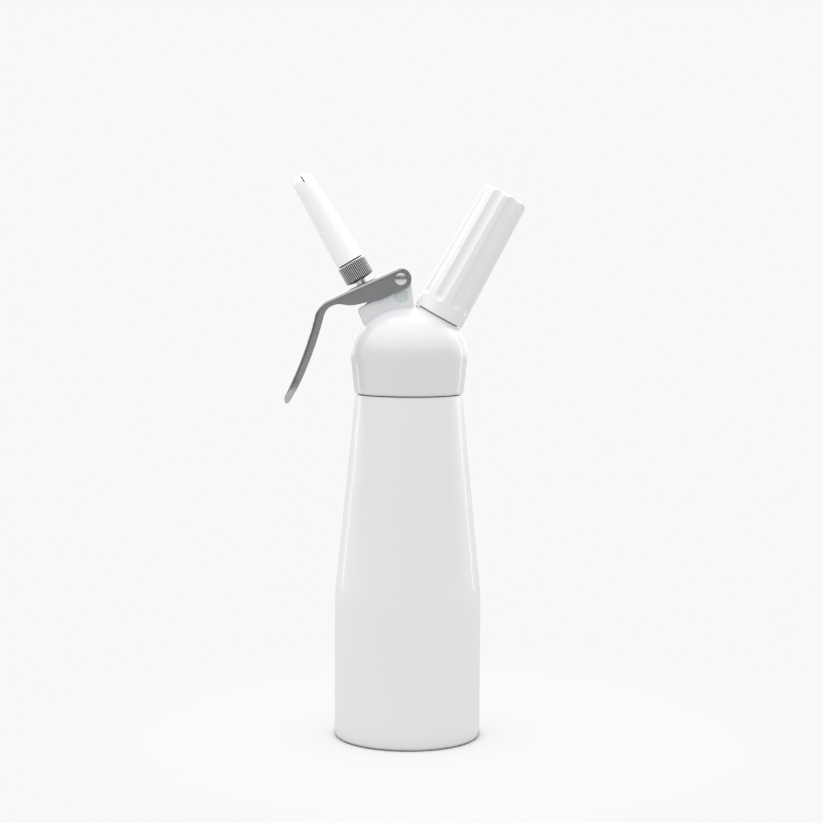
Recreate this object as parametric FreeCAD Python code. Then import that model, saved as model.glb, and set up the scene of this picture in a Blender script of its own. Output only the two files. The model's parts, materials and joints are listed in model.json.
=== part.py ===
import FreeCAD, Part
import math
import os

# Whipped cream dispenser: an aluminium bottle, a cast head that screws onto it, a squeeze lever
# that pushes a sprung valve stem inwards, and a holder that screws a gas charger onto a piercing pin.
# Units are millimetres and degrees. The origin is the middle of the bottle's base, +Z is up, the
# lever and the nozzle lean towards -X and the charger holder leans towards +X.

V = FreeCAD.Vector
CENTRE = V(0, 0, 0)
UP = V(0, 0, 1)
SIDEWAYS = V(0, 1, 0)

# ---- clearances and small gaps
running_gap = 0.05       # radial, between a shaft and the hole it turns or slides in
side_gap = 0.3           # between the lever's cheeks and the hinge block
seal_gap = 0.1           # between the rubber cone and its seat
thread_gap = 1.5         # radial, from the plain root of a coarse thread to its socket
fine_thread_gap = 0.6    # radial, the same on the charger spigot
skirt_gap = 0.6          # between the bottle's shoulder and the head's lower edge

# ---- bottle
bottle_radius = 41.0
bottle_height = 193.1        # base to the flat shoulder under the head
waist_height = 80.2          # where the straight wall turns into the taper
waist_blend = 120.0
base_edge = 1.6
shoulder_edge = 0.8
shoulder_inset = 0.65        # how far the shoulder's corner stands inside the head's lower edge
bottle_wall = 1.8
bottle_floor = 2.6
neck_radius = 25.5
neck_height = 22.9
neck_wall = 2.1
lip_edge = 0.7

# ---- head casting
head_wall = 5.5             # at the widest place, outside the neck socket
dome_rise = 28.0
dome_centre_height = 21.4    # above the bottle's shoulder
skirt_flare = 5.87
skirt_edge = 1.4
socket_lead_in = 0.8
gasket_thickness = 2.4
gasket_lap = 3.6             # how wide the flat gasket ring is
cavity_rise = 19.0
boss_wall = 3.2              # metal round the valve's and the inlet's holes

# ---- valve axis, boss and hinge block
valve_tilt = 30.7
valve_axis_height = 18.1     # above the shoulder, where it crosses the bottle's axis
boss_height = 8.0            # dome surface to boss top, along the valve axis
boss_reach = 10.0            # valve axis to the block's left side
block_draft = 6.5
block_half_width = 8.0
block_edge = 1.2
block_corner = 2.0
block_root = 19.0            # how deep the block is carried down into the dome
pivot_offset = 19.5          # valve axis to pivot
pivot_rise = 2.2             # pivot above the boss top, along the valve axis
pin_radius = 3.3
pin_proud = 1.0              # middle of the pin's domed end, past the lever's cheek
ear_radius = 4.5
heel_reach = 4.4             # pivot to the block's right corner
heel_drop = 3.8
heel_draft = 24.4
plug_radius = 3.9
plug_drop = 7.8              # pivot to plug, along the valve axis
plug_shift = 4.8             # pivot to plug, towards the valve axis
plug_depth = 3.0
plug_recess = 0.6
plug_chamfer = 0.5

# ---- lever
plate_lean = 6.3             # at rest, how far the plate's left rises from square to the valve axis
lever_sheet = 1.5
plate_height = 6.4           # pivot to the plate's upper face
plate_overrun = 1.9          # past the pivot
eye_radius = 5.85
fold_radius = 2.2            # outside of the folded edges
bend_start = 41.5            # pivot to the handle's bend
bend_radius = 13.0
bend_turn = 51.6
handle_length = 46.0
handle_flare = 12.5
tip_curl = 46.0              # the last of the handle curls back towards the bottle
tip_radius = 9.0
flange_depth = 4.4
tip_taper = 6.0              # how far before the curl the flange starts to run out
squeeze_angle = 12.0

# ---- valve stem and what it carries
stem_radius = 3.75
stem_bore = 1.6
stem_waist = 2.6             # inside the rubber cone and in the O-ring groove
thread_radius = 3.0
neck_top = 10.8              # pivot level to the knurled ring's underside
stem_thread_length = 8.4
port_radius = 1.2
guide_wall = 1.25
guide_rim_radius = 5.4
guide_rim = 0.8
counterbore_radius = 5.6
counterbore_depth = 5.8      # below the boss top
guide_length = 8.0           # below the counterbore
port_chamber = 1.6
seat_depth = 0.9
cone_outer = 5.3
cone_height = 3.6
foot_thickness = 2.0
foot_radius = 4.5
o_ring_section = 0.58
o_ring_drop = 10.0           # below the pivot level
collar_radius = 6.0
collar_thickness = 1.8
collar_gap = 0.3             # collar to the lever's plate at their nearest
slot_gap = 0.45

# ---- return spring
spring_wire = 0.45           # wire radius
spring_turns = 5

# ---- tip adapter and nozzle
knurl_radius = 8.35
knurl_height = 11.3
knurl_foot_radius = 4.8
knurl_foot_rise = 1.16
knurl_count = 48
knurl_depth = 0.42
knurl_rim = 0.7              # plain band above the knurl
adapter_spout_radius = 6.0
adapter_spout_length = 8.6
adapter_bore = 2.2
washer_radius = 7.05
washer_thickness = 0.7
nozzle_base_radius = 8.15
nozzle_tip_radius = 6.15
nozzle_length = 49.5         # washer to the start of the rounded tip
nozzle_dome = 6.1
nozzle_wall = 1.4
nozzle_slits = 5
slit_width = 0.7
slit_depth = 5.4
slit_turn = 5.0              # the first slit, from the front towards the holder's side

# ---- charger inlet and holder
holder_tilt = 28.9
holder_axis_height = 14.5    # above the shoulder, where it crosses the bottle's axis
seat_sink = 2.0              # seat plane below the dome's surface on the holder's axis
seat_radius = 14.1
holder_gap = 0.6
holder_radius = 14.6
holder_top_radius = 13.05
holder_length = 77.4
holder_top_edge = 2.2
holder_end_wall = 4.5
chamber_radius = 9.3         # clears a charger 18 mm across
socket_radius = 12.2
socket_length = 11.0
flute_count = 9
flute_radius = 5.5
flute_half_chord = 3.15
flute_start = 8.2
flute_phase = 20.0
spigot_length = 10.0
spigot_recess = 4.9
spigot_root_radius = 7.0
spigot_root_length = 9.0
pin_body_radius = 3.5
pin_body_top = 2.5
needle_radius = 1.2
needle_height = 4.0
needle_point = 1.8
needle_bore = 0.4
tail_radius = 2.0
tail_length = 6.5
gasket_height = 1.8
sleeve_wall = 0.9
sleeve_length = 5.0
seal_section = 1.0
seal_height = 1.2
seal_proud = 0.3             # how far the ring stands out past the spigot

# ---- values worked out from the sizes above
shoulder = bottle_height
lip = shoulder + neck_height
head_bottom = shoulder + skirt_gap
socket = neck_radius + thread_gap
head_radius = socket + head_wall
dome_centre = shoulder + dome_centre_height
gasket_top = lip + gasket_thickness
cavity_radius = socket - gasket_lap + 0.6    # a step on the gasket's upper side
flare_slope = math.tan(math.radians(skirt_flare))
join_angle = math.atan(flare_slope * dome_rise / head_radius)
join_radius = head_radius * math.cos(join_angle)
join_height = dome_centre - dome_rise * math.sin(join_angle)
skirt_radius = join_radius - (join_height - head_bottom) * flare_slope
shoulder_radius = skirt_radius - shoulder_inset


def distance_to_dome(tilt, start):
    """Distance along a line that leaves the bottle's axis at height start, to the dome's surface."""
    sine = math.sin(math.radians(tilt))
    cosine = math.cos(math.radians(tilt))
    below = start - dome_centre
    a = (sine / head_radius) ** 2 + (cosine / dome_rise) ** 2
    b = 2 * below * cosine / dome_rise ** 2
    c = (below / dome_rise) ** 2 - 1
    return (math.sqrt(b * b - 4 * a * c) - b) / (2 * a)


# Along the valve axis, 0 is the pivot's level; along the holder's axis, 0 is the seat plane.
valve_cross = shoulder + valve_axis_height
valve_reach = distance_to_dome(valve_tilt, valve_cross) + boss_height + pivot_rise
valve_lean = V(-math.sin(math.radians(valve_tilt)), 0, math.cos(math.radians(valve_tilt)))
valve_zero = V(0, 0, valve_cross) + valve_lean * valve_reach
holder_cross = shoulder + holder_axis_height
holder_reach = distance_to_dome(-holder_tilt, holder_cross) - seat_sink
holder_lean = V(math.sin(math.radians(holder_tilt)), 0, math.cos(math.radians(holder_tilt)))
holder_zero = V(0, 0, holder_cross) + holder_lean * holder_reach
pivot = valve_zero + V(valve_lean.z, 0, -valve_lean.x) * pivot_offset

boss_top = -pivot_rise
counterbore_floor = boss_top - counterbore_depth
guide_bottom = counterbore_floor - guide_length
boss_bottom = guide_bottom - port_chamber - seat_depth
boss_join = boss_top - boss_height - boss_wall
guide_bore = stem_radius + running_gap
guide_outer = guide_bore + guide_wall
cone_top = boss_bottom + seat_depth / 2
cone_bottom = cone_top - cone_height
stem_foot = cone_bottom - foot_thickness

# The squeeze takes the plate from its lean at rest to the other side of square.
lever_slope = valve_tilt - plate_lean
plate_rise = math.radians(plate_lean)
plate_under = plate_height - lever_sheet
cheek_inside = block_half_width + side_gap
cheek_outside = cheek_inside + lever_sheet
collar_near = (plate_under + (pivot_offset - collar_radius) * math.sin(plate_rise)) / math.cos(plate_rise)
collar_top = collar_near - collar_gap
collar_bottom = collar_top - collar_thickness

knurl_bottom = neck_top
knurl_top = knurl_bottom + knurl_height
washer_top = knurl_top + washer_thickness
nozzle_shoulder = washer_top + nozzle_length


# ---- drawing helpers
def outline_edges(corners):
    """Edges of a closed outline in the XZ plane from corners (x, z) or (x, z, rounding radius)."""
    count = len(corners)
    points = [V(c[0], 0, c[1]) for c in corners]
    rounds = [c[2] if len(c) > 2 else 0 for c in corners]
    arcs = []
    for i in range(count):
        back = (points[i - 1] - points[i]).normalize()
        ahead = (points[(i + 1) % count] - points[i]).normalize()
        if rounds[i] == 0:
            arcs.append((points[i], None, points[i]))
            continue
        half = back.getAngle(ahead) / 2
        reach = rounds[i] / math.tan(half)
        middle_way = (back + ahead).normalize()
        middle = points[i] + middle_way * (rounds[i] / math.sin(half) - rounds[i])
        arcs.append((points[i] + back * reach, middle, points[i] + ahead * reach))
    edges = []
    for i in range(count):
        start, middle, end = arcs[i]
        if middle is not None:
            edges.append(Part.Arc(start, middle, end).toShape())
        following = arcs[(i + 1) % count][0]
        if end.distanceToPoint(following) > 1e-6:
            edges.append(Part.LineSegment(end, following).toShape())
    return edges


def face(corners):
    return Part.Face(Part.Wire(outline_edges(corners)))


def turned(corners):
    """A solid of revolution about Z, from corners (radius, height) or (radius, height, rounding)."""
    return face(corners).revolve(CENTRE, UP, 360)


def slab(corners, half_width):
    """A plate with this outline in the XZ plane, centred on Y = 0."""
    plate = face(corners).extrude(V(0, 2 * half_width, 0))
    plate.translate(V(0, -half_width, 0))
    return plate


def rod(radius, bottom, top):
    return Part.makeCylinder(radius, top - bottom, V(0, 0, bottom), UP)


def tube(inner, outer, bottom, top):
    return turned([(inner, bottom), (outer, bottom), (outer, top), (inner, top)])


def cross_rod(radius, x, z, near, far):
    """A rod along Y."""
    return Part.makeCylinder(radius, far - near, V(x, near, z), SIDEWAYS)


def on_valve(shape):
    """Moves a shape drawn on the Z axis to the valve axis."""
    shape.rotate(CENTRE, SIDEWAYS, -valve_tilt)
    shape.translate(valve_zero)
    return shape


def on_inlet(shape):
    """Moves a shape drawn on the Z axis to the charger holder's axis."""
    shape.rotate(CENTRE, SIDEWAYS, holder_tilt)
    shape.translate(holder_zero)
    return shape


def on_pivot(shape):
    """Moves a shape drawn level, with the pivot at the origin, to the lever's place at rest."""
    shape.rotate(CENTRE, SIDEWAYS, -lever_slope)
    shape.translate(pivot)
    return shape


def one_solid(shape):
    """The clean solid in a boolean's result."""
    return shape.removeSplitter().Solids[0]


# ---- bottle
def bottle():
    outer = turned([
        (0, 0),
        (bottle_radius, 0, base_edge),
        (bottle_radius, waist_height, waist_blend),
        (shoulder_radius, shoulder, shoulder_edge),
        (neck_radius, shoulder),
        (neck_radius, lip, lip_edge),
        (0, lip),
    ])
    inner_radius = bottle_radius - bottle_wall
    inside = turned([
        (0, bottle_floor),
        (inner_radius, bottle_floor, base_edge + bottle_wall),
        (inner_radius, waist_height, waist_blend),
        (shoulder_radius - bottle_wall, shoulder - bottle_wall, bottle_wall),
        (neck_radius - neck_wall, shoulder - bottle_wall, bottle_wall),
        (neck_radius - neck_wall, lip + 1),
        (0, lip + 1),
    ])
    return outer.cut(inside)


# ---- head
def dome_arc(radius, rise, centre, below):
    """A quarter ellipse in the XZ plane, carried on downwards by the angle below."""
    middle = V(0, 0, centre)
    ellipse = Part.Ellipse(V(radius, 0, centre), V(0, 0, centre + rise), middle)
    return Part.ArcOfEllipse(ellipse, -below, math.pi / 2)


def domed(arc, bottom_radius, bottom):
    """A solid of revolution under a dome arc, with a straight side down to its bottom circle."""
    low, side = V(0, 0, bottom), V(bottom_radius, 0, bottom)
    edges = [
        Part.LineSegment(low, side).toShape(),
        Part.LineSegment(side, arc.StartPoint).toShape(),
        arc.toShape(),
        Part.LineSegment(arc.EndPoint, low).toShape(),
    ]
    return Part.Face(Part.Wire(edges)).revolve(CENTRE, UP, 360)


def head_dome():
    dome = domed(dome_arc(head_radius, dome_rise, dome_centre, join_angle), skirt_radius, head_bottom)
    lower_edge = [e for e in dome.Edges if abs(e.BoundBox.ZMax - head_bottom) < 1e-4 and e.Closed]
    return dome.makeFillet(skirt_edge, lower_edge)


def hinge_block():
    """The flat-sided block that holds the valve boss and the lever's pivot, with an ear at the pivot."""
    start_x, start_z = counterbore_radius + block_corner, boss_top
    reach = math.hypot(pivot_offset - start_x, start_z)
    climb = math.atan2(-start_z, pivot_offset - start_x) + math.asin(ear_radius / reach)
    tangent = math.sqrt(reach ** 2 - ear_radius ** 2)
    ear_x = start_x + tangent * math.cos(climb)
    ear_z = start_z + tangent * math.sin(climb)
    left_foot = boss_reach + (block_root + boss_top) * math.tan(math.radians(block_draft))
    heel_x = pivot_offset + heel_reach
    right_foot = heel_x - (block_root - heel_drop) * math.tan(math.radians(heel_draft))
    body = slab([
        (-left_foot, -block_root),
        (-boss_reach, boss_top, block_corner),
        (start_x, start_z, block_corner),
        (ear_x, ear_z),
        (pivot_offset + ear_radius, 0),
        (heel_x, -heel_drop, block_corner),
        (right_foot, -block_root),
    ], block_half_width)
    ear = cross_rod(ear_radius, pivot_offset, 0, -block_half_width, block_half_width)
    block = one_solid(body.fuse(ear))
    rims = [e for e in block.Edges if on_side(e, block_half_width) and e.BoundBox.ZMax > 1 - block_root]
    return on_valve(block.makeFillet(block_edge, rims))


def on_side(edge, half_width):
    """True if the edge lies all along one of the two planes Y = +half_width and Y = -half_width."""
    box = edge.BoundBox
    return box.YLength < 1e-4 and abs(abs(box.Center.y) - half_width) < 1e-4


def head():
    dome = head_dome()
    pad = on_inlet(rod(seat_radius, -spigot_root_length, 0))
    shape = dome.fuse([hinge_block(), pad])
    spot_face = on_inlet(rod(seat_radius + 1, 0, seat_sink + 2))
    holder_room = on_inlet(rod(holder_radius + holder_gap, 0, 2 * holder_radius))
    shape = shape.cut([spot_face, holder_room])
    # hollow: the neck's socket, the gasket's recess and a domed cavity above it
    hollow = turned([
        (0, head_bottom - 1),
        (socket + 1 + socket_lead_in, head_bottom - 1),
        (socket, head_bottom + socket_lead_in),
        (socket, gasket_top),
        (0, gasket_top),
    ])
    ball_radius = (cavity_radius ** 2 + cavity_rise ** 2) / (2 * cavity_rise)
    ball = Part.makeSphere(ball_radius, V(0, 0, gasket_top + cavity_rise - ball_radius))
    cavity = ball.common(rod(cavity_radius, gasket_top - 1, gasket_top + cavity_rise + 1))
    shape = shape.cut([hollow, cavity])
    # thicker metal inside, round the valve and round the charger inlet
    valve_boss = on_valve(rod(guide_outer + boss_wall, boss_bottom, boss_join))
    inlet_boss = on_inlet(rod(spigot_root_radius + boss_wall, -spigot_root_length, -seat_sink))
    shape = shape.fuse([valve_boss, inlet_boss])
    holes = [
        on_valve(rod(counterbore_radius, counterbore_floor, boss_top + 4)),
        on_valve(rod(guide_outer, guide_bottom, counterbore_floor)),
        on_valve(rod(guide_outer - 0.4, guide_bottom - port_chamber, guide_bottom)),
        on_valve(turned([
            (0, boss_bottom - 1),
            (cone_outer + 1, boss_bottom - 1),
            (cone_outer, boss_bottom),
            (guide_outer - 0.4, guide_bottom - port_chamber),
            (0, guide_bottom - port_chamber),
        ])),
        on_inlet(rod(spigot_root_radius, -spigot_root_length - 2, 1)),
        on_valve(cross_rod(pin_radius, pivot_offset, 0, -block_half_width - 1, block_half_width + 1)),
        on_valve(cross_rod(plug_radius, *plug_place(), -block_half_width - 1, plug_depth - block_half_width)),
        plug_countersink(),
    ]
    return one_solid(shape.cut(holes))


def plug_place():
    return pivot_offset - plug_shift, -plug_drop


def plug_countersink():
    x, z = plug_place()
    wide = plug_radius + plug_chamfer
    cone = Part.makeCone(wide, plug_radius, plug_chamfer, V(x, -block_half_width, z), SIDEWAYS)
    return on_valve(cone)


def side_plug():
    x, z = plug_place()
    face_level = plug_recess - block_half_width
    return on_valve(cross_rod(plug_radius, x, z, face_level, plug_depth - block_half_width))


def head_gasket():
    return turned([
        (socket - gasket_lap, lip, 0.4),
        (socket, lip, 0.4),
        (socket, gasket_top, 0.4),
        (socket - gasket_lap, gasket_top, 0.4),
    ])


# ---- lever
def pivot_pin():
    reach = cheek_outside + pin_proud
    pin = rod(pin_radius, -reach, reach).common(Part.makeSphere(reach))
    pin.rotate(CENTRE, V(1, 0, 0), 90)
    return on_pivot(pin)


class HandleLine:
    """The lever's upper line at a chosen depth below the sheet's outer face. It is straight over
    the plate, bends down, flares out a little and curls back at the tip."""

    def __init__(self, depth, short=0):
        turn = math.radians(bend_turn)
        flare = math.radians(handle_flare) * (1 - short / handle_length)
        sweep = handle_length / math.radians(handle_flare)
        curl = math.radians(tip_curl)
        bend_centre = V(-bend_start, 0, plate_height - bend_radius)
        flare_centre = on_circle(bend_centre, bend_radius + sweep, turn)
        low = turn - flare
        curl_centre = on_circle(flare_centre, -sweep - tip_radius, low)
        self.start = V(-bend_start, 0, plate_height - depth)
        self.bend = [on_circle(bend_centre, bend_radius - depth, turn * part) for part in (0.5, 1)]
        self.flare = [on_circle(flare_centre, -sweep - depth, turn - flare * part) for part in (0.5, 1)]
        self.curl = [on_circle(curl_centre, tip_radius - depth, low + curl * part) for part in (0.5, 1)]

    def arcs(self, curled=True):
        edges = [Part.Arc(self.start, *self.bend), Part.Arc(self.bend[1], *self.flare)]
        if curled:
            edges.append(Part.Arc(self.flare[1], *self.curl))
        return [edge.toShape() for edge in edges]


def on_circle(centre, radius, turn):
    """The point of a circle in the XZ plane at this turn from the top towards -X."""
    return centre + V(-math.sin(turn), 0, math.cos(turn)) * radius


def line(start, end):
    return Part.LineSegment(start, end).toShape()


def extruded(edges, half_width):
    plate = Part.Face(Part.Wire(Part.sortEdges(edges)[0])).extrude(V(0, 2 * half_width, 0))
    plate.translate(V(0, -half_width, 0))
    return plate


def cheek_edge(start, end):
    """The cheek's wavy lower edge, from the straight part under the eye to the handle's flange."""
    drop = end.z - start.z
    run = end.x - start.x
    shares = [(0.27, 0.20), (0.50, 0.36), (0.68, 0.58), (0.86, 0.95)]
    points = [start] + [V(start.x + run * a, 0, start.z + drop * b) for a, b in shares] + [end]
    curve = Part.BSplineCurve()
    curve.interpolate(Points=points, InitialTangent=V(-1, 0, 0), FinalTangent=V(-1, 0, 0))
    return curve.toShape()


def lever_blank():
    """The lever's side outline, across its full width."""
    top = HandleLine(0)
    rim = HandleLine(flange_depth, tip_taper)
    tip = HandleLine(lever_sheet).curl[1]
    plate_end = V(plate_overrun, 0, plate_height)
    eye_start = V(plate_overrun, 0, math.sqrt(eye_radius ** 2 - plate_overrun ** 2))
    eye_side = V(eye_radius, 0, 0)
    eye_low = V(0, 0, -eye_radius)
    straight_end = V(-bend_start / 3, 0, -eye_radius)
    edges = [line(plate_end, top.start)] + top.arcs() + [line(top.curl[1], tip), line(tip, rim.flare[1])]
    edges += rim.arcs(curled=False) + [cheek_edge(straight_end, rim.start), line(straight_end, eye_low)]
    edges += [Part.Arc(eye_low, eye_side, eye_start).toShape(), line(eye_start, plate_end)]
    return extruded(edges, cheek_outside)


def lever_inside():
    """What the folded sheet leaves open between its cheeks."""
    under = HandleLine(lever_sheet)
    tip = under.curl[1]
    far = 4 * eye_radius
    above = plate_height + 1
    corners = [tip, V(tip.x, 0, tip.z - far), V(far, 0, tip.z - far), V(far, 0, above)]
    corners += [V(plate_overrun, 0, above), V(plate_overrun, 0, under.start.z), under.start]
    edges = under.arcs() + [line(a, b) for a, b in zip(corners, corners[1:])]
    return extruded(edges, cheek_inside)


def tip_cutter(inset):
    """What lies past the handle's rounded end, seen square to its face, with the end drawn in by inset."""
    heading = bend_turn - handle_flare + tip_curl / 2
    reach = 3 * cheek_outside
    block = Part.makeBox(reach, 2 * reach, 2 * reach, V(-reach, -reach, -reach))
    cutter = block.cut(rod(cheek_outside - inset, -reach, reach))
    cutter.translate(V(cheek_outside, 0, 0))
    cutter.rotate(CENTRE, SIDEWAYS, -heading)
    cutter.translate(HandleLine(0).curl[1])
    return cutter


def lever():
    blank = lever_blank()
    folds = [e for e in blank.Edges if on_side(e, cheek_outside) and below_top_line(e) < 1e-3]
    shape = blank.makeFillet(fold_radius, folds)
    shape = shape.cut(lever_inside().cut(tip_cutter(lever_sheet)))
    shape = shape.cut(tip_cutter(0))
    hole = cross_rod(pin_radius + running_gap, 0, 0, -cheek_outside - 1, cheek_outside + 1)
    return on_pivot(one_solid(shape.cut(stem_slot() + [hole])))


def stem_slot():
    """Cutters for the slot in the plate, from the stem's place at rest to its place when squeezed."""
    radius = stem_radius + slot_gap
    length = plate_height + 2
    at_rest = -stem_reach(plate_rise)
    squeezed = -stem_reach(plate_rise - math.radians(squeeze_angle))
    ends = [Part.makeCylinder(radius, length, V(x, 0, 0), UP) for x in (at_rest, squeezed)]
    return ends + [Part.makeBox(squeezed - at_rest, 2 * radius, length, V(at_rest, -radius, 0))]


def stem_reach(rise):
    """Distance along the plate's upper face from the pivot to the stem, for a rise of the plate."""
    return (pivot_offset + plate_height * math.sin(rise)) / math.cos(rise)


def below_top_line(edge):
    """How far an edge's middle lies from the sheet's outer face, seen from the side."""
    top = Part.Wire([line(V(plate_overrun, 0, plate_height), HandleLine(0).start)] + HandleLine(0).arcs())
    middle = edge.valueAt((edge.FirstParameter + edge.LastParameter) / 2)
    return top.distToShape(Part.Vertex(V(middle.x, 0, middle.z)))[0]


# ---- valve
def valve_stem():
    stem_top = neck_top + stem_thread_length
    groove_centre = -o_ring_drop
    groove = o_ring_section + 0.05
    stem = turned([
        (0, stem_foot),
        (foot_radius, stem_foot, 0.5),
        (foot_radius, cone_bottom, 0.4),
        (stem_waist, cone_bottom),
        (stem_waist, guide_bottom - 0.2),
        (stem_radius, guide_bottom - 0.2, 0.3),
        (stem_radius, groove_centre - groove),
        (stem_waist, groove_centre - groove),
        (stem_waist, groove_centre + groove),
        (stem_radius, groove_centre + groove),
        (stem_radius, neck_top),
        (thread_radius, neck_top),
        (thread_radius, stem_top, 0.4),
        (0, stem_top),
    ])
    port_level = guide_bottom - port_chamber / 2 - 0.4
    passage = rod(stem_bore, port_level - port_radius - 0.5, stem_top + 1)
    ports = cross_rod(port_radius, 0, port_level, -stem_radius - 1, stem_radius + 1)
    return on_valve(one_solid(stem.cut([passage, ports])))


def stem_cone():
    """The rubber cone that closes the valve against the head's inner seat."""
    top_radius = guide_outer - 0.4
    return on_valve(turned([
        (stem_waist, cone_bottom),
        (cone_outer - 0.3, cone_bottom, 0.4),
        (cone_outer, boss_bottom - seal_gap),
        (top_radius - seal_gap - 0.6, cone_top),
        (stem_waist, cone_top),
    ]))


def stem_o_ring():
    centre_radius = stem_radius + 0.01 - o_ring_section
    ring = Part.makeTorus(centre_radius, o_ring_section, V(0, 0, -o_ring_drop), UP)
    return on_valve(ring)


def stem_guide():
    """The bush that the stem slides in; its rim is the spring's seat."""
    return on_valve(turned([
        (guide_bore, guide_bottom, 0.2),
        (guide_outer, guide_bottom),
        (guide_outer, counterbore_floor),
        (guide_rim_radius, counterbore_floor),
        (guide_rim_radius, counterbore_floor + guide_rim, 0.2),
        (guide_bore, counterbore_floor + guide_rim, 0.2),
    ]))


def thrust_collar():
    """The collar that the lever's plate presses on and the spring pushes up."""
    return on_valve(turned([
        (stem_radius, collar_bottom),
        (collar_radius, collar_bottom, 0.3),
        (collar_radius, collar_top, 0.3),
        (stem_radius, collar_top),
    ]))


def return_spring():
    low = counterbore_floor + guide_rim + spring_wire
    height = collar_bottom - spring_wire - low
    radius = (stem_radius + running_gap + guide_rim_radius) / 2
    helix = Part.makeHelix(height / spring_turns, height, radius)
    circle = Part.Wire(Part.makeCircle(spring_wire, V(radius, 0, 0), SIDEWAYS))
    wire = Part.Wire(helix).makePipeShell([circle], True, True)
    wire.translate(V(0, 0, low))
    return on_valve(wire)


def tip_adapter():
    """The knurled ring that clamps onto the stem, with the spout that the nozzle screws onto."""
    body = turned([
        (0, knurl_bottom),
        (knurl_foot_radius, knurl_bottom),
        (knurl_radius, knurl_bottom + knurl_foot_rise),
        (knurl_radius, knurl_top, 0.3),
        (adapter_spout_radius, knurl_top),
        (adapter_spout_radius, knurl_top + adapter_spout_length, 0.5),
        (0, knurl_top + adapter_spout_length),
    ])
    notch_foot = knurl_radius - knurl_depth
    half = knurl_depth * 1.15
    rim = knurl_radius + 1
    spread = half * (rim - notch_foot) / knurl_depth
    corners = [V(notch_foot, 0, 0), V(rim, spread, 0), V(rim, -spread, 0), V(notch_foot, 0, 0)]
    groove = Part.Face(Part.makePolygon(corners)).extrude(V(0, 0, knurl_height - knurl_rim))
    groove.translate(V(0, 0, knurl_bottom))
    grooves = []
    for i in range(knurl_count):
        cut = groove.copy()
        cut.rotate(CENTRE, UP, 360 * i / knurl_count)
        grooves.append(cut)
    stem_top = neck_top + stem_thread_length
    socket_hole = rod(thread_radius, knurl_bottom - 1, stem_top)
    passage = rod(adapter_bore, stem_top - 1, knurl_top + adapter_spout_length + 1)
    return on_valve(one_solid(body.cut(grooves).cut([socket_hole, passage])))


def tip_washer():
    return on_valve(tube(adapter_spout_radius, washer_radius, knurl_top, washer_top))


def decorator_nozzle():
    """A tapered plastic nozzle with a slit, rounded end."""
    outer_arc = dome_arc(nozzle_tip_radius, nozzle_dome, nozzle_shoulder, 0)
    outer = domed(outer_arc, nozzle_base_radius, washer_top)
    inner_tip = nozzle_tip_radius - nozzle_wall
    inner_arc = dome_arc(inner_tip, nozzle_dome - nozzle_wall, nozzle_shoulder, 0)
    spout_top = knurl_top + adapter_spout_length + 0.4
    inner = domed(inner_arc, adapter_spout_radius, spout_top)
    base_socket = rod(adapter_spout_radius, washer_top - 1, spout_top)
    shape = outer.cut([inner, base_socket])
    apex = nozzle_shoulder + nozzle_dome
    slits = []
    for i in range(nozzle_slits):
        slit = Part.makeBox(nozzle_tip_radius + 1, slit_width, slit_depth + 1)
        slit.translate(V(0, -slit_width / 2, apex - slit_depth))
        slit.rotate(CENTRE, UP, -90 + slit_turn + 360 * i / nozzle_slits)
        slits.append(slit)
    return on_valve(one_solid(shape.cut(slits)))


# ---- charger inlet and holder
def inlet_spigot():
    """The threaded stud that the holder screws onto; the charger's neck enters its recess."""
    outer = socket_radius - fine_thread_gap
    groove = outer - seal_section
    return on_inlet(turned([
        (pin_body_radius, -spigot_root_length),
        (spigot_root_radius, -spigot_root_length),
        (spigot_root_radius, 0),
        (groove, 0),
        (groove, seal_height),
        (outer, seal_height),
        (outer, spigot_length, 0.8),
        (spigot_recess, spigot_length, 0.5),
        (spigot_recess, pin_body_top),
        (pin_body_radius, pin_body_top),
    ]))


def piercing_pin():
    """The hollow pin that opens the charger; gas leaves through the cross hole in its tail."""
    point_base = pin_body_top + needle_height
    tail_bottom = -spigot_root_length - tail_length
    pin = turned([
        (0, tail_bottom),
        (tail_radius, tail_bottom, 0.4),
        (tail_radius, -spigot_root_length),
        (pin_body_radius, -spigot_root_length),
        (pin_body_radius, pin_body_top),
        (needle_radius, pin_body_top),
        (needle_radius, point_base),
        (needle_bore + 0.1, point_base + needle_point),
        (0, point_base + needle_point),
    ])
    cross_level = -spigot_root_length - tail_length / 2
    bore = rod(needle_bore, cross_level, point_base + needle_point + 1)
    cross = cross_rod(needle_bore, 0, cross_level, -tail_radius - 1, tail_radius + 1)
    return on_inlet(one_solid(pin.cut([bore, cross])))


def pin_gasket():
    return on_inlet(tube(needle_radius, spigot_recess, pin_body_top, pin_body_top + gasket_height))


def check_sleeve():
    """The rubber sleeve over the pin's cross hole that lets gas in and not back."""
    top = -spigot_root_length - (tail_length - sleeve_length) / 2
    return on_inlet(tube(tail_radius, tail_radius + sleeve_wall, top - sleeve_length, top))


def spigot_seal():
    """The rubber ring under the spigot's thread, which the holder's mouth closes on."""
    outer = socket_radius - fine_thread_gap
    return on_inlet(tube(outer - seal_section, outer + seal_proud, 0, seal_height))


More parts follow.
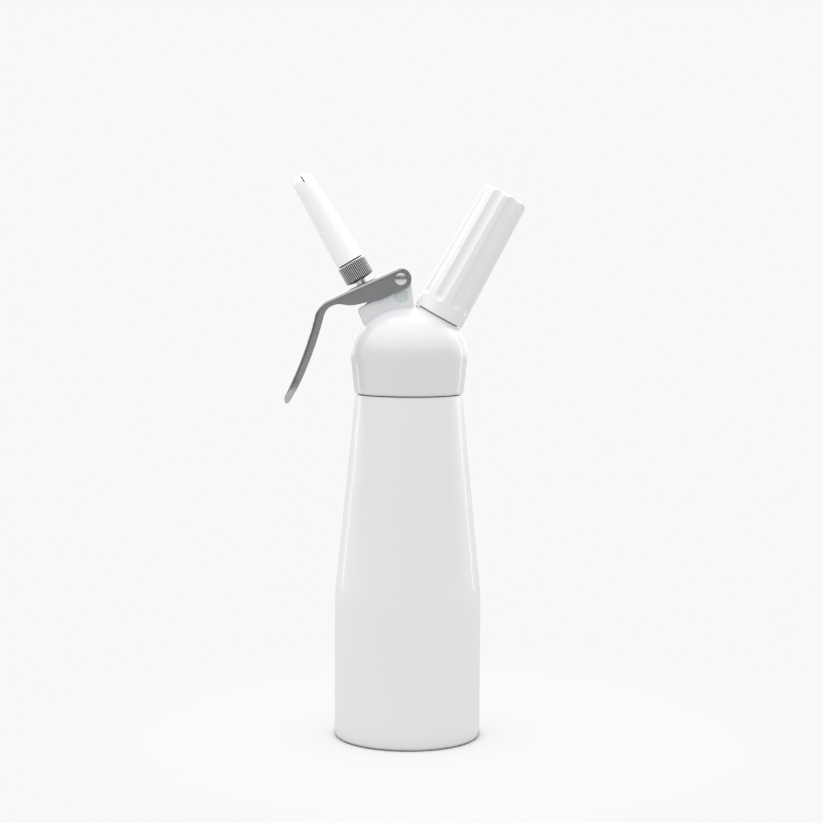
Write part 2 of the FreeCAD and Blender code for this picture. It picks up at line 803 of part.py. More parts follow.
def charger_holder():
    slope = (holder_radius - holder_top_radius) / (holder_length - holder_gap)
    body = turned([
        (0, holder_gap),
        (holder_radius, holder_gap, 0.5),
        (holder_top_radius, holder_length, holder_top_edge),
        (0, holder_length),
    ])
    chamber_top = holder_length - holder_end_wall
    socket_top = holder_gap + socket_length
    chamber = turned([
        (0, holder_gap - 1),
        (socket_radius, holder_gap - 1),
        (socket_radius, socket_top),
        (chamber_radius, socket_top + socket_radius - chamber_radius),
        (chamber_radius, chamber_top, 2.5),
        (0, chamber_top),
    ])
    start = flute_start + flute_half_chord
    surface = holder_radius - slope * start
    chord_depth = surface - math.sqrt(surface ** 2 - flute_half_chord ** 2)
    out = surface - chord_depth + math.sqrt(flute_radius ** 2 - flute_half_chord ** 2)
    flute = rod(flute_radius, 0, holder_length).fuse(Part.makeSphere(flute_radius))
    flute.rotate(CENTRE, SIDEWAYS, -math.degrees(math.atan(slope)))
    flute.translate(V(out, 0, start))
    flutes = []
    for i in range(flute_count):
        cut = flute.copy()
        cut.rotate(CENTRE, UP, -90 + flute_phase + 360 * i / flute_count)
        flutes.append(cut)
    return on_inlet(one_solid(body.cut(flutes).cut(chamber)))


# ---- every piece, by node name
pieces = {
    "bottle": bottle,
    "head": head,
    "head_gasket": head_gasket,
    "side_plug": side_plug,
    "pivot_pin": pivot_pin,
    "lever": lever,
    "valve_stem": valve_stem,
    "stem_cone": stem_cone,
    "stem_o_ring": stem_o_ring,
    "stem_guide": stem_guide,
    "thrust_collar": thrust_collar,
    "return_spring": return_spring,
    "tip_adapter": tip_adapter,
    "tip_washer": tip_washer,
    "decorator_nozzle": decorator_nozzle,
    "inlet_spigot": inlet_spigot,
    "piercing_pin": piercing_pin,
    "pin_gasket": pin_gasket,
    "check_sleeve": check_sleeve,
    "spigot_seal": spigot_seal,
    "charger_holder": charger_holder,
}

os.makedirs("parts", exist_ok=True)
for node, make in pieces.items():
    shape = make()
    shape.exportStep("parts/" + node + ".step")
    box = shape.BoundBox
    span = f"x {box.XMin:.2f} {box.XMax:.2f} z {box.ZMin:.2f} {box.ZMax:.2f}"
    print(node, "solids", len(shape.Solids), "valid", shape.isValid(), "volume", round(shape.Volume, 1), span)
for name, point in (("pivot", pivot), ("valve zero", valve_zero), ("holder zero", holder_zero)):
    print(name, round(point.x, 3), round(point.z, 3))
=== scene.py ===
import json
import math

import bpy
from mathutils import Matrix, Vector

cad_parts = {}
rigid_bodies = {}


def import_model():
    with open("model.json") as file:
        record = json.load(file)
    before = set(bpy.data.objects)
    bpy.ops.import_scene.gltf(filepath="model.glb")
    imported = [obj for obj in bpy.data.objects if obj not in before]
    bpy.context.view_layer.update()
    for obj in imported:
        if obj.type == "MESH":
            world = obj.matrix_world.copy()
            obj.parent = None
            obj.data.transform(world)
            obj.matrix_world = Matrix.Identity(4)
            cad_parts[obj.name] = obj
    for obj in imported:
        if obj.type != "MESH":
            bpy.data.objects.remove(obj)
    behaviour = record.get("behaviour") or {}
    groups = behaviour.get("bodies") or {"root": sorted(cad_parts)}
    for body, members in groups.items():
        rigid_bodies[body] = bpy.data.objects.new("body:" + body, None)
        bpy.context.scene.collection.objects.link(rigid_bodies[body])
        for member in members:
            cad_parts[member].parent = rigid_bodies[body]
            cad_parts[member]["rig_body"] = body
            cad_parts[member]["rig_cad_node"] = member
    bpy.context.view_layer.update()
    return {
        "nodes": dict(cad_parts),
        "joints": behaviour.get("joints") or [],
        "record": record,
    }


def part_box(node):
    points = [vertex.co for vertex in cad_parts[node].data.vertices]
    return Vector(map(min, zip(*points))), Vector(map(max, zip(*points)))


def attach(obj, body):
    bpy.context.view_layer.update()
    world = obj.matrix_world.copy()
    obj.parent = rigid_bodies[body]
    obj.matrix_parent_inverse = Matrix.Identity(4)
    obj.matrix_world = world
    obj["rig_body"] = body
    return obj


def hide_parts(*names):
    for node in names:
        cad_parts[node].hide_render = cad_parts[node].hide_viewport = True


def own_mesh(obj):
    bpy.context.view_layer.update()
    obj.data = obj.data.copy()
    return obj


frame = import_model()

# Looks of a whipped cream dispenser. The solids come from the frame; this script gives them their
# finishes, adds the threads and the wound return spring, and sets up the studio. Units are metres.

mm = 0.001
nodes = frame["nodes"]
joints = {joint["name"]: joint for joint in frame["joints"]}

# ---- the three slanted axes, from the frame's joints and its one bore mount
bore = next(mount for mount in frame["record"]["mounts"] if mount["kind"] == "bore")
pivot = Vector(joints["lever_pivot"]["pos_m"])
valve_axis = Vector(joints["nozzle_slide"]["axis"])
holder_axis = Vector(joints["holder_slide"]["axis"])
pivot_offset = 19.5 * mm        # pivot to the valve axis
chamber_middle = 42.45 * mm     # from the holder's seat to the bore mount's point
valve_zero = pivot - Vector((valve_axis.z, 0, -valve_axis.x)) * pivot_offset
holder_zero = Vector(bore["pos_m"]) - holder_axis * chamber_middle
valve_tilt = math.atan2(-valve_axis.x, valve_axis.z)
holder_tilt = math.atan2(holder_axis.x, holder_axis.z)

plate_tilt = math.radians(24.4)  # of the lever's plate, from level

# ---- threads and spring
neck_radius = 25.5 * mm
neck_ridge = 0.8 * mm           # how far the neck's thread stands out
neck_pitch = 4.2 * mm
head_socket = 27.0 * mm
head_ridge = 0.5 * mm
spigot_radius = 11.6 * mm
spigot_ridge = 0.45 * mm
spigot_pitch = 1.6 * mm
cap_turns = 2.5                 # of the neck's thread and the head's
spigot_turns = 3.5
neck_start = 4.5 * mm           # from the bottle's mouth down to its thread
head_start = 6.5 * mm           # from the head's lower edge up to its thread
spigot_start = 2.6 * mm         # from the holder's seat up to the spigot's thread
ridge_share = 0.42              # a ridge's width at its root, of the pitch, and at its crest, of the root
spring_radius = 4.6 * mm        # wire centre to the valve axis
spring_wire = 0.45 * mm
spring_low = -7.2 * mm          # on the stem guide's rim, from the pivot's level
spring_top = 4.32 * mm          # under the thrust collar
spring_dead_pitch = 0.95 * mm   # where the end coils touch
spring_live_coils = 4

merge_reach = 0.004 * mm        # corners nearer than this are one
crease = 30                     # edges that turn more than this, in degrees, stay sharp

# ---- camera and studio
camera_place = Vector((0.00149, -1.0524, 0.2643))
camera_pitch = 85.603
camera_roll = 0.336
camera_lens = 82.40
white = 0.939                   # the backdrop, as the camera sees it
floor_tone = 0.775
foot_radius = 0.041             # the floor is plain shadow inside this, under the foot
foot_clear = 0.047              # and glows outside this
shadow_start = 0.05             # where the floor begins to fade into the backdrop, and where it ends
shadow_end = 0.25
shadow_shift = 0.02             # the shadow's middle, towards the holder
floor_size = 12
floor_glow = 0.60               # how much of the floor near the object is plain backdrop, without shadow
matt_all = 1.10                 # backdrop light on matt surfaces, from all round
matt_floor = 0.70               # the floor's light on matt surfaces
gloss_all = 0.02                # what gloss mirrors: all round, then what is added in each direction
gloss_above = 1.00
above_low = 0.20                # the direction's height where that starts, and where it is full
above_high = 0.50
gloss_behind = 1.40
behind_low = -0.1               # the direction's depth where that starts, and where it is full
behind_high = 0.6
gloss_floor = 0.78              # the floor, as gloss mirrors it
top_power = 6.8                 # lamps, in watts
left_power = 1.4
right_power = 0.5
strip_power = 0.48
strip_width = 0.06
strip_height = 1.0
strip_side = 0.715
strip_back = 0.545


# ---- shader helper
class Value:
    """One output socket. Arithmetic on it adds Math nodes."""

    def __init__(self, shading, socket):
        self.shading = shading
        self.socket = socket

    def __add__(self, other):
        return self.shading.math("ADD", self, other)

    def __radd__(self, other):
        return self.shading.math("ADD", other, self)

    def __sub__(self, other):
        return self.shading.math("SUBTRACT", self, other)

    def __rsub__(self, other):
        return self.shading.math("SUBTRACT", other, self)

    def __mul__(self, other):
        return self.shading.math("MULTIPLY", self, other)

    def __rmul__(self, other):
        return self.shading.math("MULTIPLY", other, self)


class Shading:
    """A node tree being built: of a material, or of the world."""

    def __init__(self, tree):
        self.tree = tree

    def node(self, kind, settings=None, inputs=None, output=0):
        """Adds a node, sets its settings and then its sockets, and returns one of its outputs, if any."""
        made = self.tree.nodes.new(kind)
        for name, setting in (settings or {}).items():
            setattr(made, name, setting)
        for key, value in (inputs or {}).items():
            self.feed(self.find(made.inputs, key), value)
        return Value(self, self.find(made.outputs, output)) if made.outputs else None

    def find(self, sockets, key):
        if isinstance(key, int):
            return sockets[key]
        return next(socket for socket in sockets if key in (socket.identifier, socket.name))

    def feed(self, socket, value):
        if isinstance(value, Value):
            self.tree.links.new(value.socket, socket)
        else:
            socket.default_value = value

    def math(self, operation, *values):
        return self.node("ShaderNodeMath", {"operation": operation}, dict(enumerate(values)))

    def smooth_step(self, value, low, high):
        """0 below low, 1 above high and smooth between them."""
        inputs = {"Value": value, "From Min": low, "From Max": high}
        return self.node("ShaderNodeMapRange", {"interpolation_type": "SMOOTHSTEP"}, inputs)

    def blend(self, factor, first, second):
        inputs = {"Factor_Float": factor, "A_Color": first, "B_Color": second}
        return self.node("ShaderNodeMix", {"data_type": "RGBA"}, inputs, "Result_Color")

    def place(self):
        return self.node("ShaderNodeTexCoord", output="Object")

    def mapped(self, turn=(0, 0, 0), scale=(1, 1, 1), move=(0, 0, 0)):
        inputs = {"Vector": self.place(), "Location": move, "Rotation": turn, "Scale": scale}
        return self.node("ShaderNodeMapping", {"vector_type": "POINT"}, inputs)

    def noise(self, where, scale, detail=2.0, rough=0.5):
        inputs = {"Vector": where, "Scale": scale, "Detail": detail, "Roughness": rough}
        return self.node("ShaderNodeTexNoise", {"noise_dimensions": "3D"}, inputs, "Fac")

    def part(self, vector, letter):
        return self.node("ShaderNodeSeparateXYZ", inputs={"Vector": vector}, output=letter)

    def bump(self, height, distance):
        return self.node("ShaderNodeBump", inputs={"Height": height, "Distance": distance})


class Finish(Shading):
    """A material with one Principled shader, whose constants are set on its own sockets."""

    def __init__(self, name, **constants):
        self.material = bpy.data.materials.new(name)
        self.material.use_nodes = True
        super().__init__(self.material.node_tree)
        self.shader = self.tree.nodes["Principled BSDF"]
        for name, value in constants.items():
            self.shader.inputs[name.replace("_", " ").title().replace("Ior", "IOR")].default_value = value

    def set(self, **fed):
        """Feeds the shader's sockets, named in lower case with underscores."""
        for name, value in fed.items():
            self.feed(self.shader.inputs[name.replace("_", " ").title()], value)
        return self.material


def colour(red, green, blue):
    return (red, green, blue, 1)


# ---- where a point is, seen from one of the slanted axes
def about_axis(finish, zero, tilt):
    """Object coordinates with +Z along an axis that leans by tilt in the XZ plane, from its zero."""
    back = Matrix.Rotation(-tilt, 4, "Y")
    shift = back @ (-zero)
    return finish.mapped(turn=(0, -tilt, 0), move=tuple(shift))


def valve_place(finish):
    return about_axis(finish, valve_zero, -valve_tilt)


def holder_place(finish):
    return about_axis(finish, holder_zero, holder_tilt)


def distance_from_z(finish, where):
    across = finish.part(where, "X")
    deep = finish.part(where, "Y")
    return finish.math("SQRT", across * across + deep * deep)


# ---- finishes
def enamel(name, deep, light, gloss, coat, peel):
    """Sprayed white enamel: slow cloudiness, a faint orange peel and a smooth clear surface."""
    finish = Finish(name, ior=1.5, coat_roughness=0.05, coat_ior=1.45, coat_weight=coat)
    where = finish.place()
    cloud = finish.noise(where, 9, 3)
    grain = finish.noise(where, 260, 1)
    fine = finish.noise(where, 1700, 1)
    gloss_change = 0.06 * (cloud - 0.5) + 0.02 * (fine - 0.5)
    paint = finish.blend(finish.smooth_step(cloud, 0.3, 0.7), deep, light)
    return finish.set(
        base_color=paint,
        roughness=gloss + gloss_change,
        normal=finish.bump(grain, peel),
    )


def polished_steel():
    """Stamped stainless sheet, polished along its length, with a little handling haze."""
    finish = Finish("polished_steel", metallic=1.0)
    lengthwise = finish.mapped(turn=(0, plate_tilt, 0), scale=(18, 900, 900))
    streak = finish.noise(lengthwise, 1, 3, 0.6)
    haze = finish.noise(finish.place(), 38, 4, 0.6)
    shade = finish.smooth_step(haze, 0.25, 0.8)
    return finish.set(
        base_color=finish.blend(shade, colour(0.505, 0.52, 0.535), colour(0.555, 0.57, 0.585)),
        roughness=0.30 + 0.04 * (streak - 0.5) + 0.05 * (haze - 0.5),
        normal=finish.bump(streak, 0.0015 * mm),
    )


def turned_steel(name, dark, bright, ring_pitch):
    """Bright steel bar with the fine rings that a lathe leaves about the pivot's axis."""
    finish = Finish(name, metallic=1.0)
    where = finish.mapped(move=tuple(-pivot))
    across = finish.part(where, "X")
    height = finish.part(where, "Z")
    radius = finish.math("SQRT", across * across + height * height)
    wobble = finish.noise(where, 260, 2)
    ring = finish.math("SINE", (radius + 0.25 * mm * wobble) * (2 * math.pi / ring_pitch))
    smear = finish.noise(where, 420, 3)
    return finish.set(
        base_color=finish.blend(finish.smooth_step(smear, 0.3, 0.75), dark, bright),
        roughness=0.27 + 0.03 * ring + 0.08 * (smear - 0.5),
        normal=finish.bump(ring, 0.004 * mm),
    )


def valve_steel():
    """Turned steel of the stem and its collar, with rings across the valve axis."""
    finish = Finish("valve_steel", metallic=1.0)
    where = valve_place(finish)
    along = finish.part(where, "Z")
    mark = finish.math("SINE", along * (2 * math.pi / (0.22 * mm)))
    smear = finish.noise(where, 300, 3)
    return finish.set(
        base_color=finish.blend(smear, colour(0.74, 0.74, 0.75), colour(0.88, 0.88, 0.89)),
        roughness=0.22 + 0.04 * mark + 0.12 * (smear - 0.5),
        normal=finish.bump(mark, 0.003 * mm),
    )


def knurled_nickel():
    """Nickel plate that is duller in the knurl's grooves than on its crests, with painted shade that
    makes the grooves near black and leaves the crests bright.
    """
    finish = Finish("knurled_nickel", metallic=0.6)
    where = valve_place(finish)
    radius = distance_from_z(finish, where)
    crest = finish.smooth_step(radius, 8.08 * mm, 8.33 * mm)
    spout = 1 - finish.smooth_step(radius, 6.1 * mm, 6.5 * mm)
    clear_of_painted_groove_shade = finish.math("MAXIMUM", crest, spout)
    dust = finish.noise(where, 700, 3)
    return finish.set(
        # painted shade: the knurl's grooves get a near-black colour, while the crests and the spout keep
        # the bright nickel
        base_color=finish.blend(clear_of_painted_groove_shade, colour(0.005, 0.005, 0.005), colour(0.80, 0.80, 0.81)),
        roughness=0.50 - 0.08 * clear_of_painted_groove_shade + 0.10 * (dust - 0.5),
        normal=finish.bump(dust, 0.006 * mm),
    )


def machined_brass():
    """Turned brass with a faint tarnish."""
    finish = Finish("machined_brass", metallic=1.0)
    where = finish.place()
    tarnish = finish.noise(where, 120, 4)
    tool = finish.noise(finish.mapped(scale=(250, 250, 6000)), 1, 2)
    return finish.set(
        base_color=finish.blend(tarnish, colour(0.58, 0.43, 0.19), colour(0.80, 0.64, 0.33)),
        roughness=0.24 + 0.16 * (tarnish - 0.4),
        normal=finish.bump(tool, 0.004 * mm),
    )


def machined_aluminium():
    """Clear anodised, turned aluminium of the charger spigot."""
    finish = Finish("machined_aluminium", metallic=1.0)
    where = holder_place(finish)
    along = finish.part(where, "Z")
    mark = finish.math("SINE", along * (2 * math.pi / (0.18 * mm)))
    cloud = finish.noise(where, 180, 3)
    return finish.set(
        base_color=finish.blend(cloud, colour(0.66, 0.67, 0.68), colour(0.78, 0.79, 0.80)),
        roughness=0.30 + 0.04 * mark + 0.10 * (cloud - 0.5),
        normal=finish.bump(mark, 0.003 * mm),
    )


def drawn_wire():
    """Spring wire with lengthwise die marks and a trace of oil."""
    finish = Finish("drawn_wire", metallic=1.0)
    where = valve_place(finish)
    oil = finish.noise(where, 500, 3)
    return finish.set(
        base_color=finish.blend(oil, colour(0.36, 0.36, 0.37), colour(0.58, 0.58, 0.59)),
        roughness=0.25 + 0.18 * (oil - 0.4),
        normal=finish.bump(oil, 0.006 * mm),
    )


def moulded_plastic(name, deep, light, gloss, grain):
    """Satin moulded plastic: an even colour with slight flow clouds and a fine spark-eroded grain."""
    finish = Finish(name, ior=1.49)
    where = finish.place()
    flow = finish.noise(finish.mapped(turn=(0, valve_tilt, 0), scale=(60, 60, 22)), 1, 3)
    fine = finish.noise(where, 2200, 2)
    dye = finish.blend(finish.smooth_step(flow, 0.3, 0.7), deep, light)
    return finish.set(
        base_color=dye,
        roughness=gloss + 0.08 * (flow - 0.5) + 0.05 * (fine - 0.5),
        normal=finish.bump(fine, grain),
    )


def rubber(name, deep, light, gloss):
    """Moulded rubber, matt, with fine bloom."""
    finish = Finish(name, ior=1.5)
    where = finish.place()
    bloom = finish.noise(where, 650, 4, 0.6)
    return finish.set(
        base_color=finish.blend(finish.smooth_step(bloom, 0.35, 0.75), deep, light),
        roughness=gloss + 0.16 * (bloom - 0.5),
        normal=finish.bump(bloom, 0.012 * mm),
    )


bottle_enamel = enamel(
    "bottle_enamel", colour(0.775, 0.785, 0.80), colour(0.795, 0.805, 0.82),
    0.36, 0.5, 0.001 * mm,
)
head_enamel = enamel(
    "head_enamel", colour(0.70, 0.71, 0.725), colour(0.72, 0.73, 0.745),
    0.34, 0.6, 0.001 * mm,
)
holder_enamel = enamel(
    "holder_enamel", colour(0.79, 0.80, 0.81), colour(0.81, 0.82, 0.83),
    0.34, 0.7, 0.001 * mm,
)
lever_finish = polished_steel()
pin_finish = turned_steel(
    "turned_pin_steel", colour(0.80, 0.80, 0.81), colour(0.92, 0.92, 0.92), 0.5 * mm
)
stem_finish = valve_steel()
nickel_finish = knurled_nickel()
brass_finish = machined_brass()
spigot_finish = machined_aluminium()
wire_finish = drawn_wire()
nozzle_finish = moulded_plastic(
    "nozzle_plastic", colour(0.905, 0.907, 0.91), colour(0.93, 0.932, 0.935), 0.36, 0.0005 * mm
)
plug_finish = moulded_plastic(
    "plug_plastic", colour(0.56, 0.62, 0.62), colour(0.60, 0.66, 0.66), 0.38, 0.001 * mm
)
gasket_finish = rubber("red_silicone", colour(0.42, 0.07, 0.045), colour(0.56, 0.13, 0.09), 0.45)
seal_finish = rubber("black_rubber", colour(0.012, 0.012, 0.013), colour(0.045, 0.045, 0.047), 0.55)
ring_finish = rubber("grey_silicone", colour(0.34, 0.34, 0.34), colour(0.42, 0.42, 0.42), 0.5)

slot_finishes = {
    "bottle_paint": bottle_enamel,
    "head_paint": head_enamel,
    "holder_paint": holder_enamel,
    "lever_steel": lever_finish,
    "pin_steel": stem_finish,
    "spring_steel": wire_finish,
    "nickel": nickel_finish,
    "brass": brass_finish,
    "spigot_aluminium": spigot_finish,
    "nozzle_plastic": nozzle_finish,
    "plug_plastic": plug_finish,
    "gasket_rubber": gasket_finish,
    "seal_rubber": seal_finish,
}
node_slots = {row["node"]: row["material_slot"] for row in frame["record"]["subparts"]}
node_finishes = {node: slot_finishes[slot] for node, slot in node_slots.items()}
node_finishes["pivot_pin"] = pin_finish
node_finishes["spigot_seal"] = ring_finish


# ---- modelling helpers
def deselect():
    if bpy.context.object and bpy.context.object.mode != "OBJECT":
        bpy.ops.object.mode_set(mode="OBJECT")
    bpy.ops.object.select_all(action="DESELECT")


def only(piece):
    deselect()
    piece.select_set(True)
    bpy.context.view_layer.objects.active = piece


def apply_modifier(piece, kind, **settings):
    only(piece)
    modifier = piece.modifiers.new(kind.title(), kind)
    for name, value in settings.items():
        setattr(modifier, name, value)
    bpy.ops.object.modifier_apply(modifier=modifier.name)


def select_where(piece, test):
    """In edit mode, leaves selected just the vertices whose place passes the test."""
    bpy.ops.mesh.select_mode(type="VERT")
    bpy.ops.mesh.select_all(action="DESELECT")
    bpy.ops.object.mode_set(mode="OBJECT")
    for vertex in piece.data.vertices:
        vertex.select = test(vertex.co)
    bpy.ops.object.mode_set(mode="EDIT")


def lean(piece, zero, tilt):
    """Takes a piece made about +Z to an axis that leans by tilt from its zero, and applies its place."""
    only(piece)
    piece.matrix_world = Matrix.Translation(zero) @ Matrix.Rotation(tilt, 4, "Y")
    bpy.ops.object.transform_apply(location=True, rotation=True, scale=True)


def finish_piece(piece, name, material, body, angle=35):
    """Names a finished piece, gives it its material and smooth shading, and ties it to its body."""
    only(piece)
    piece.name = name
    piece.data.name = name
    piece.data.materials.clear()
    piece.data.materials.append(material)
    bpy.ops.object.shade_smooth_by_angle(angle=math.radians(angle))
    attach(piece, body)
    return piece


def swept_section(section, pitch, turns, steps):
    """Sweeps a section that stands in the XZ plane into a closed helix about +Z."""
    only(section)
    bpy.ops.object.transform_apply(location=True, rotation=True, scale=True)
    bpy.ops.object.mode_set(mode="EDIT")
    bpy.ops.mesh.select_all(action="SELECT")
    bpy.ops.mesh.delete(type="ONLY_FACE")
    bpy.ops.object.mode_set(mode="OBJECT")
    apply_modifier(
        section, "SCREW", axis="Z", angle=2 * math.pi * turns, screw_offset=pitch * turns,
        steps=int(steps * turns), render_steps=int(steps * turns), use_merge_vertices=True,
    )
    bpy.ops.object.mode_set(mode="EDIT")
    bpy.ops.mesh.select_all(action="SELECT")
    bpy.ops.mesh.fill_holes(sides=0)
    bpy.ops.mesh.select_all(action="SELECT")
    bpy.ops.mesh.normals_make_consistent(inside=False)
    bpy.ops.object.mode_set(mode="OBJECT")
    return section


def thread_ridge(root, rise, pitch, turns, low, steps=56):
    """A rounded thread ridge on a cylinder of radius root; a negative rise stands inwards."""
    deselect()
    bury = math.copysign(0.25 * mm, rise)
    depth = rise + bury
    middle = root - bury + depth / 2
    quarter = math.radians(90)
    bpy.ops.mesh.primitive_plane_add(size=1, location=(middle, 0, low), rotation=(quarter, 0, 0))
    section = bpy.context.object
    section.scale = (abs(depth), ridge_share * pitch, 1)
    bpy.ops.object.transform_apply(location=True, rotation=True, scale=True)
    bpy.ops.object.mode_set(mode="EDIT")
    select_where(section, lambda place: (place.x - middle) * rise > 0)
    bpy.ops.transform.resize(value=(1, 1, ridge_share), center_override=(middle, 0, low))
    bpy.ops.mesh.bevel(offset=0.3 * abs(rise), segments=3, affect="VERTICES")
    bpy.ops.object.mode_set(mode="OBJECT")
    ridge = swept_section(section, pitch, turns, steps)
    run_out(ridge, root, low, 0)
    run_out(ridge, root, low + pitch * turns, 2 * math.pi * turns)
    return ridge


def run_out(ridge, root, height, turn):
    """Sinks a ridge's end into its cylinder."""
    end = Vector((math.cos(turn) * root, math.sin(turn) * root, height))
    across = Vector((-math.sin(turn), math.cos(turn), 0))
    only(ridge)
    bpy.ops.object.mode_set(mode="EDIT")

    def at_end(place):
        reach = place - end
        return abs(reach.dot(across)) < 0.05 * mm and reach.length < 3 * mm

    select_where(ridge, at_end)
    bpy.ops.transform.resize(
        value=(0.12, 0.12, 0.12), center_override=end, use_proportional_edit=True,
        use_proportional_connected=True, proportional_edit_falloff="SMOOTH", proportional_size=5 * mm,
    )
    bpy.ops.object.mode_set(mode="OBJECT")


def merged_copy(node):
    """A copy of a CAD node with its triangles joined and smooth shading between its edges."""
    original = nodes[node]
    deselect()
    piece = original.copy()
    piece.data = original.data.copy()
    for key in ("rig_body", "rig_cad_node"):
        if key in piece:
            del piece[key]
    bpy.context.scene.collection.objects.link(piece)
    piece.parent = None
    only(piece)
    if piece.data.has_custom_normals:
        bpy.ops.mesh.customdata_custom_splitnormals_clear()
    bpy.ops.object.mode_set(mode="EDIT")
    bpy.ops.mesh.select_all(action="SELECT")
    bpy.ops.mesh.remove_doubles(threshold=merge_reach)
    bpy.ops.mesh.select_all(action="SELECT")
    bpy.ops.mesh.dissolve_degenerate(threshold=merge_reach)
    bpy.ops.mesh.select_all(action="SELECT")
    bpy.ops.mesh.normals_make_consistent(inside=False)
    bpy.ops.object.mode_set(mode="OBJECT")
    finish_piece(piece, node + "_shell", node_finishes[node], original["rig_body"], crease)
    apply_modifier(piece, "WEIGHTED_NORMAL", keep_sharp=True, weight=60)
    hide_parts(node)
    return piece


# ---- CAD nodes get their finish; those that show are later replaced by smooth-shaded copies
for name, node in nodes.items():
    node.data.materials.clear()
    node.data.materials.append(node_finishes[name])


# ---- pieces that the solids leave out
def neck_thread():
    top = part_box("bottle")[1].z
    low = top - neck_start - neck_pitch * cap_turns
    ridge = thread_ridge(neck_radius, neck_ridge, neck_pitch, cap_turns, low)
    return finish_piece(ridge, "neck_thread", bottle_enamel, "bottle")


def head_thread():
    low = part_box("head")[0].z + head_start
    ridge = thread_ridge(head_socket, -head_ridge, neck_pitch, cap_turns, low)
    return finish_piece(ridge, "head_thread", head_enamel, "head")


def spigot_thread():
    ridge = thread_ridge(spigot_radius, spigot_ridge, spigot_pitch, spigot_turns, spigot_start)
    lean(ridge, holder_zero, holder_tilt)
    return finish_piece(ridge, "spigot_thread", spigot_finish, "head")


def spring_stretch(low, pitch, turns):
    deselect()
    quarter = math.radians(90)
    bpy.ops.mesh.primitive_circle_add(
        vertices=12, radius=spring_wire, fill_type="NGON",
        location=(spring_radius, 0, low), rotation=(quarter, 0, 0),
    )
    return swept_section(bpy.context.object, pitch, turns, 40)


def wound_spring():
    """The return spring: a dead coil at each end and live coils between them."""
    first = spring_low + spring_wire
    last = spring_top - spring_wire
    live_pitch = (last - first - 2 * spring_dead_pitch) / spring_live_coils
    starts = [first, first + spring_dead_pitch, last - spring_dead_pitch]
    stretches = [
        spring_stretch(starts[0], spring_dead_pitch, 1),
        spring_stretch(starts[1], live_pitch, spring_live_coils),
        spring_stretch(starts[2], spring_dead_pitch, 1),
    ]
    only(stretches[0])
    for stretch in stretches[1:]:
        stretch.select_set(True)
    bpy.ops.object.join()
    spring = bpy.context.object
    lean(spring, valve_zero, -valve_tilt)
    finish_piece(spring, "wound_return_spring", wire_finish, "head", 60)
    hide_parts("return_spring")
    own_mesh(spring)
    return spring


for node in ("bottle", "head", "side_plug", "pivot_pin", "valve_stem", "thrust_collar", "tip_adapter"):
    merged_copy(node)
for node in ("tip_washer", "decorator_nozzle", "charger_holder", "inlet_spigot", "lever"):
    merged_copy(node)
neck_thread()
head_thread()
spigot_thread()
wound_spring()


# ---- studio
def studio_world():
    """A pale backdrop for the camera; gloss mirrors a room that is dark in front and bright above and
    behind. It isn't sampled as a lamp, so that each kind of ray meets the strength set for it."""
    world = bpy.data.worlds.new("studio")
    bpy.context.scene.world = world
    world.use_nodes = True
    world.cycles.sampling_method = "NONE"
    shading = Shading(world.node_tree)
    world.node_tree.nodes.clear()
    direction = shading.node("ShaderNodeTexCoord", output="Generated")
    behind = shading.smooth_step(shading.part(direction, "Y"), behind_low, behind_high)
    above = shading.smooth_step(shading.part(direction, "Z"), above_low, above_high)
    path = "ShaderNodeLightPath"
    seen = shading.node(path, output="Is Camera Ray") + shading.node(path, output="Is Transmission Ray")
    glossy = shading.node(path, output="Is Glossy Ray")
    mirrored = gloss_all + gloss_above * above + gloss_behind * behind
    strength = seen * white + glossy * mirrored + (1 - seen - glossy) * matt_all
    shader = shading.node("ShaderNodeBackground", inputs={"Color": colour(1, 1, 1), "Strength": strength})
    shading.node("ShaderNodeOutputWorld", inputs={"Surface": shader})


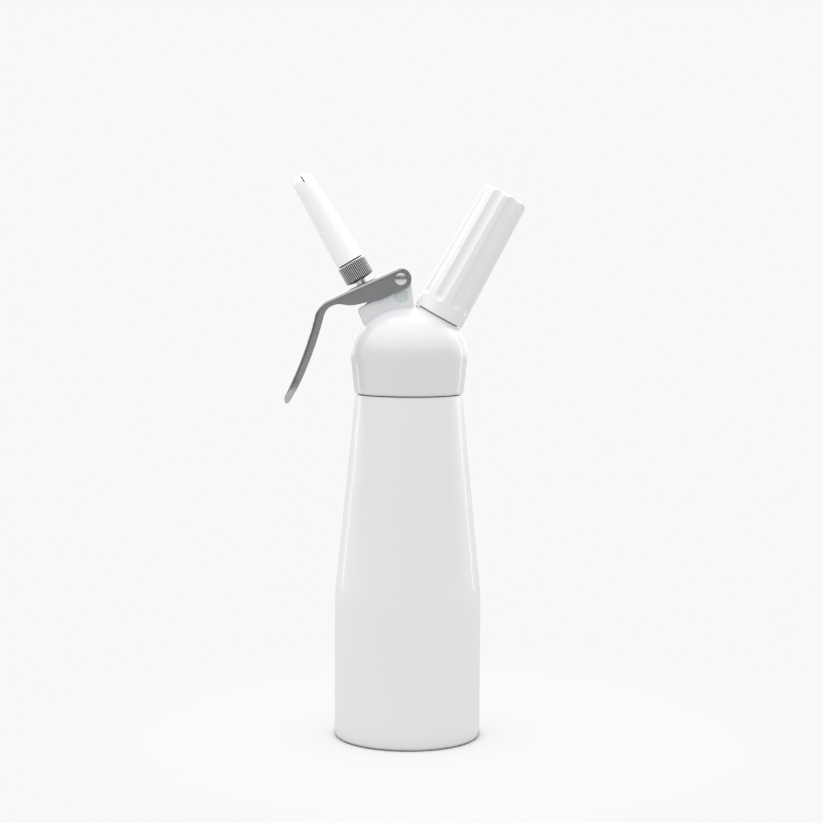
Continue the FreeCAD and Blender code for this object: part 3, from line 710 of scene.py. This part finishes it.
def studio_floor():
    """A wide pale floor that keeps the object's shadow near it and fades into the backdrop."""
    deselect()
    bpy.ops.mesh.primitive_plane_add(size=floor_size, location=(0, 0, 0))
    floor = bpy.context.object
    floor.name = "studio_floor"
    material = bpy.data.materials.new("pale_floor")
    material.use_nodes = True
    material.cycles.emission_sampling = "NONE"
    shading = Shading(material.node_tree)
    material.node_tree.nodes.clear()
    away = distance_from_z(shading, shading.mapped(move=(-shadow_shift, 0, 0)))
    clear = shading.smooth_step(distance_from_z(shading, shading.place()), foot_radius, foot_clear)
    faded = shading.smooth_step(away, shadow_start, shadow_end)
    fading = clear * (floor_glow + (1 - floor_glow) * faded)
    seen = shading.node("ShaderNodeLightPath", output="Is Camera Ray")
    glossy = shading.node("ShaderNodeLightPath", output="Is Glossy Ray")
    matt = shading.node("ShaderNodeLightPath", output="Is Diffuse Ray")
    strength = seen * white + clear * (glossy * gloss_floor + matt * matt_floor)
    tone = colour(floor_tone, floor_tone, floor_tone)
    diffuse = shading.node("ShaderNodeBsdfDiffuse", inputs={"Color": tone})
    glow = shading.node("ShaderNodeEmission", inputs={"Color": colour(1, 1, 1), "Strength": strength})
    glowing = fading * seen + glossy + matt
    shader = shading.node("ShaderNodeMixShader", inputs={0: glowing, 1: diffuse, 2: glow})
    shading.node("ShaderNodeOutputMaterial", inputs={"Surface": shader})
    floor.data.materials.append(material)


def softbox(name, place, target, width, height, power, mirrored=False):
    """An area lamp that lights matt surfaces only, or gloss only where it is mirrored."""
    light = bpy.data.lights.new(name, "AREA")
    light.shape = "RECTANGLE"
    light.size = width
    light.size_y = height
    light.energy = power
    lamp = bpy.data.objects.new(name, light)
    bpy.context.scene.collection.objects.link(lamp)
    lamp.location = place
    lamp.rotation_mode = "QUATERNION"
    lamp.rotation_quaternion = (Vector(target) - Vector(place)).to_track_quat("-Z", "Y")
    lamp.visible_camera = False
    lamp.visible_glossy = mirrored
    lamp.visible_diffuse = not mirrored


studio_world()
studio_floor()
middle = Vector((0, 0, 0.16))
softbox("top_box", (0.0, 0.0, 1.50), middle, 1.1, 1.1, top_power)
softbox("left_box", (-1.30, -0.35, 0.75), middle, 0.8, 1.2, left_power)
softbox("right_box", (1.10, -0.20, 1.15), middle, 0.8, 1.2, right_power)
for side in (-1, 1):
    name = f"rim_strip_{side + 2}"
    place = (side * strip_side, strip_back, strip_height / 2)
    target = (0, 0, strip_height / 2)
    softbox(name, place, target, strip_width, strip_height, strip_power, mirrored=True)

lens = bpy.data.cameras.new("camera")
camera = bpy.data.objects.new("camera", lens)
bpy.context.scene.collection.objects.link(camera)
camera.location = camera_place
camera.rotation_mode = "ZYX"
camera.rotation_euler = (math.radians(camera_pitch), 0, math.radians(camera_roll))
lens.lens = camera_lens
lens.sensor_width = 36
bpy.context.scene.camera = camera
bpy.context.scene.view_settings.view_transform = "Standard"
